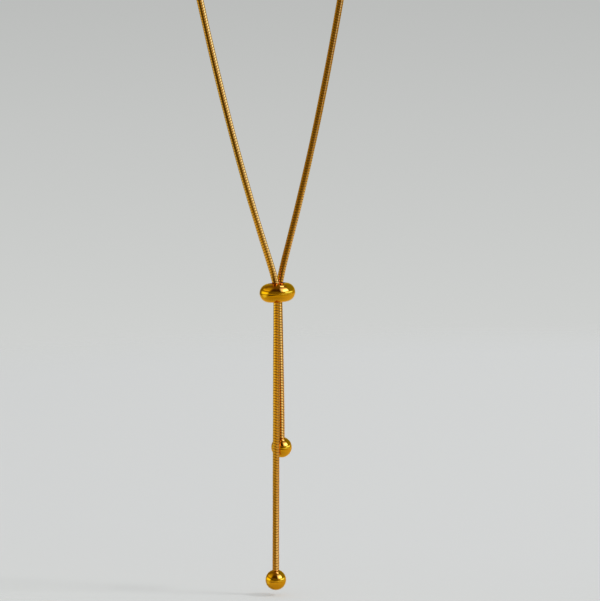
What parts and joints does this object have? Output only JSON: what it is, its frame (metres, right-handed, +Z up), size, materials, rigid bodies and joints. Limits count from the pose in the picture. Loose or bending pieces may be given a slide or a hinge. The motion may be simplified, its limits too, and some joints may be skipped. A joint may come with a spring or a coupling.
{
  "type": "y necklace",
  "caption": "Hanging slider necklace of round snake chain: one loop whose two strands pass through an oblate bead and end below it as two tails of different length with balls.",
  "frame": {"origin": "underside of the chain at the crown of its loop, where it hangs on its support", "axes": "+Z up along the hanging necklace, the loop in the XZ plane with its left strand at -X, and -Y is its front, where the long tail hangs"},
  "size_m": [0.0811, 0.0072, 0.3151],
  "materials": {
    "chain_gold": "gold-plated round snake chain, bright link faces with dark seams",
    "polished_gold": "mirror-polished gold plating with fine hairline scratches"
  },
  "bodies": {
    "root": {"snake_chain": "chain_gold", "slider_bead": "polished_gold", "long_end_ball": "polished_gold", "short_end_ball": "polished_gold"}
  },
  "joints": []
}
